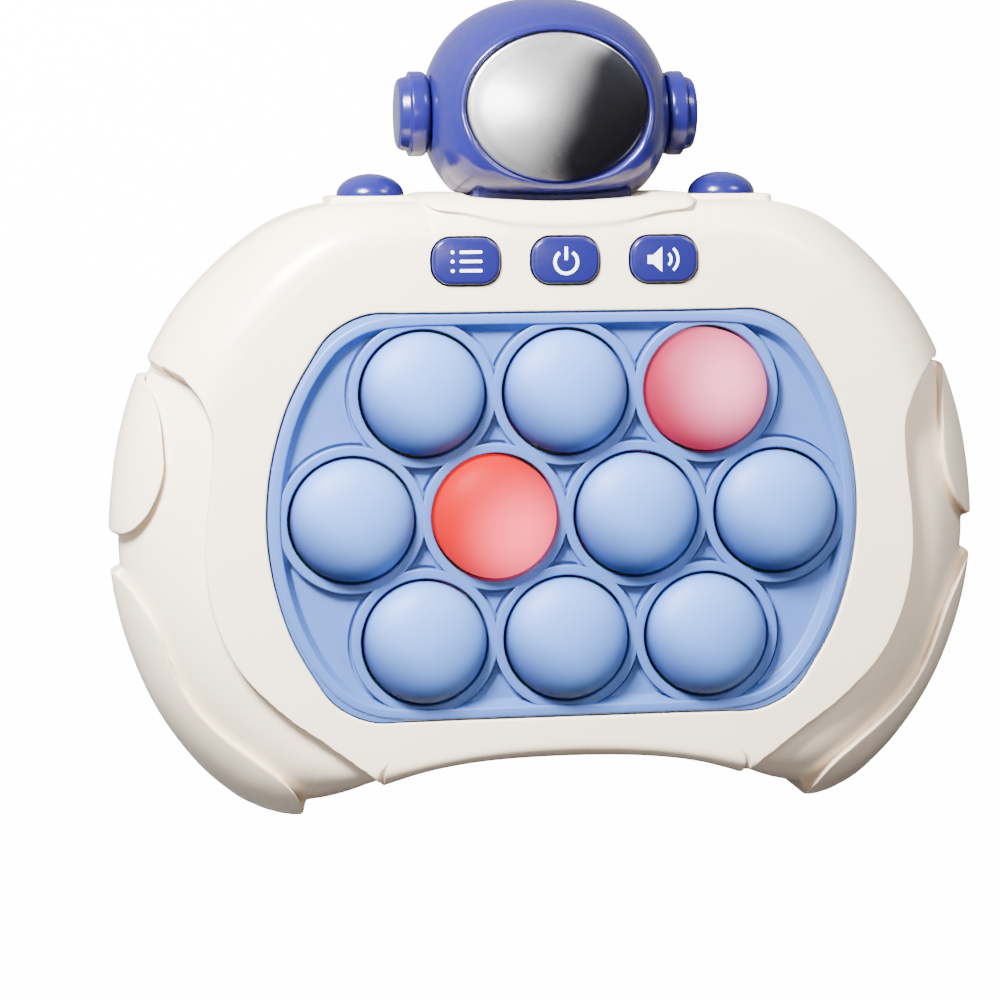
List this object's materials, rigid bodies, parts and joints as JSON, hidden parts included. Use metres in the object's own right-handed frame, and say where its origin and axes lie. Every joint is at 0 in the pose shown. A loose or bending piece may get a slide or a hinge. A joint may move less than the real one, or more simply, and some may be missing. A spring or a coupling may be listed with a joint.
{
  "type": "electronic bubble pop game",
  "caption": "Handheld bubble popping game: rounded body with finned sides, light blue pad of sprung domes, front and shoulder buttons and a helmet with a mirror visor on top.",
  "frame": {"origin": "middle of the whole footprint, on the surface that the flat back rests on", "axes": "+X to the viewer's right across the front, +Y along the face towards the helmet, +Z out of the front face"},
  "size_m": [0.167, 0.1534, 0.0455],
  "materials": {
    "shell_white": "glossy off-white moulded plastic",
    "royal_blue": "glossy royal blue moulded plastic",
    "panel_blue": "satin light blue moulded plastic",
    "bubble_blue": "satin light blue translucent cap",
    "bubble_red": "translucent cap lit red from below",
    "bubble_pink": "translucent cap lit pink from below",
    "mirror_silver": "softly frosted silver mirror coating",
    "rubber_clear": "milky silicone rubber",
    "board_green": "green lacquered circuit board",
    "chip_black": "matte black plastic",
    "steel": "zinc plated steel",
    "cell_grey": "plain grey cell sleeve",
    "lead_red": "red wire insulation"
  },
  "bodies": {
    "body": {"front_shell": "shell_white", "rear_shell": "shell_white", "bubble_panel": "panel_blue", "return_cone_01": "rubber_clear", "return_cone_02": "rubber_clear", "return_cone_03": "rubber_clear", "return_cone_04": "rubber_clear", "return_cone_05": "rubber_clear", "return_cone_06": "rubber_clear", "return_cone_07": "rubber_clear", "return_cone_08": "rubber_clear", "return_cone_09": "rubber_clear", "return_cone_10": "rubber_clear", "main_board": "board_green", "board_screw_1": "steel", "board_screw_2": "steel", "board_screw_3": "steel", "board_screw_4": "steel", "control_chip": "chip_black", "body_screw_1": "steel", "body_screw_2": "steel", "body_screw_3": "steel", "body_screw_4": "steel", "helmet_front": "royal_blue", "helmet_rear": "royal_blue", "helmet_screw_1": "steel", "helmet_screw_2": "steel", "visor": "mirror_silver", "ear_cap_left": "royal_blue", "ear_cap_right": "royal_blue", "speaker": "chip_black", "speaker_lead": "lead_red", "battery_lead": "lead_red", "battery_cell_1": "cell_grey", "battery_cell_2": "cell_grey", "battery_cell_3": "cell_grey", "battery_contact_left_single": "steel", "battery_contact_left_double": "steel", "battery_contact_right_double": "steel", "battery_contact_right_single": "steel"},
    "bubble_01": {"bubble_01": "bubble_blue"},
    "bubble_02": {"bubble_02": "bubble_blue"},
    "bubble_03": {"bubble_03": "bubble_pink"},
    "bubble_04": {"bubble_04": "bubble_blue"},
    "bubble_05": {"bubble_05": "bubble_red"},
    "bubble_06": {"bubble_06": "bubble_blue"},
    "bubble_07": {"bubble_07": "bubble_blue"},
    "bubble_08": {"bubble_08": "bubble_blue"},
    "bubble_09": {"bubble_09": "bubble_blue"},
    "bubble_10": {"bubble_10": "bubble_blue"},
    "menu_button": {"menu_button": "royal_blue"},
    "power_button": {"power_button": "royal_blue"},
    "volume_button": {"volume_button": "royal_blue"},
    "shoulder_button_left": {"shoulder_button_left": "royal_blue"},
    "shoulder_button_right": {"shoulder_button_right": "royal_blue"},
    "battery_door": {"battery_door": "shell_white", "battery_door_screw_1": "steel", "battery_door_screw_2": "steel"}
  },
  "joints": [
    {"name": "bubble_01_press", "type": "slide", "parent": "body", "child": "bubble_01", "axis": [0, 0, -1], "range_m": [0, 0.0045], "stiffness_N_per_m": 400, "springref_m": -0.002, "deforming": ["return_cone_01"]},
    {"name": "bubble_02_press", "type": "slide", "parent": "body", "child": "bubble_02", "axis": [0, 0, -1], "range_m": [0, 0.0045], "stiffness_N_per_m": 400, "springref_m": -0.002, "deforming": ["return_cone_02"]},
    {"name": "bubble_03_press", "type": "slide", "parent": "body", "child": "bubble_03", "axis": [0, 0, -1], "range_m": [0, 0.0045], "stiffness_N_per_m": 400, "springref_m": -0.002, "deforming": ["return_cone_03"]},
    {"name": "bubble_04_press", "type": "slide", "parent": "body", "child": "bubble_04", "axis": [0, 0, -1], "range_m": [0, 0.0045], "stiffness_N_per_m": 400, "springref_m": -0.002, "deforming": ["return_cone_04"]},
    {"name": "bubble_05_press", "type": "slide", "parent": "body", "child": "bubble_05", "axis": [0, 0, -1], "range_m": [0, 0.0045], "stiffness_N_per_m": 400, "springref_m": -0.002, "deforming": ["return_cone_05"]},
    {"name": "bubble_06_press", "type": "slide", "parent": "body", "child": "bubble_06", "axis": [0, 0, -1], "range_m": [0, 0.0045], "stiffness_N_per_m": 400, "springref_m": -0.002, "deforming": ["return_cone_06"]},
    {"name": "bubble_07_press", "type": "slide", "parent": "body", "child": "bubble_07", "axis": [0, 0, -1], "range_m": [0, 0.0045], "stiffness_N_per_m": 400, "springref_m": -0.002, "deforming": ["return_cone_07"]},
    {"name": "bubble_08_press", "type": "slide", "parent": "body", "child": "bubble_08", "axis": [0, 0, -1], "range_m": [0, 0.0045], "stiffness_N_per_m": 400, "springref_m": -0.002, "deforming": ["return_cone_08"]},
    {"name": "bubble_09_press", "type": "slide", "parent": "body", "child": "bubble_09", "axis": [0, 0, -1], "range_m": [0, 0.0045], "stiffness_N_per_m": 400, "springref_m": -0.002, "deforming": ["return_cone_09"]},
    {"name": "bubble_10_press", "type": "slide", "parent": "body", "child": "bubble_10", "axis": [0, 0, -1], "range_m": [0, 0.0045], "stiffness_N_per_m": 400, "springref_m": -0.002, "deforming": ["return_cone_10"]},
    {"name": "menu_button_press", "type": "slide", "parent": "body", "child": "menu_button", "axis": [0, 0, -1], "range_m": [0, 0.0008], "stiffness_N_per_m": 900, "springref_m": -0.0005},
    {"name": "power_button_press", "type": "slide", "parent": "body", "child": "power_button", "axis": [0, 0, -1], "range_m": [0, 0.0008], "stiffness_N_per_m": 900, "springref_m": -0.0005},
    {"name": "volume_button_press", "type": "slide", "parent": "body", "child": "volume_button", "axis": [0, 0, -1], "range_m": [0, 0.0008], "stiffness_N_per_m": 900, "springref_m": -0.0005},
    {"name": "shoulder_button_left_press", "type": "slide", "parent": "body", "child": "shoulder_button_left", "axis": [0, -1, 0], "range_m": [0, 0.0015], "stiffness_N_per_m": 600, "springref_m": -0.0008},
    {"name": "shoulder_button_right_press", "type": "slide", "parent": "body", "child": "shoulder_button_right", "axis": [0, -1, 0], "range_m": [0, 0.0015], "stiffness_N_per_m": 600, "springref_m": -0.0008},
    {"name": "battery_door_lift_off", "type": "slide", "parent": "body", "child": "battery_door", "axis": [0, 0, -1], "range_m": [0, 0.03]}
  ]
}
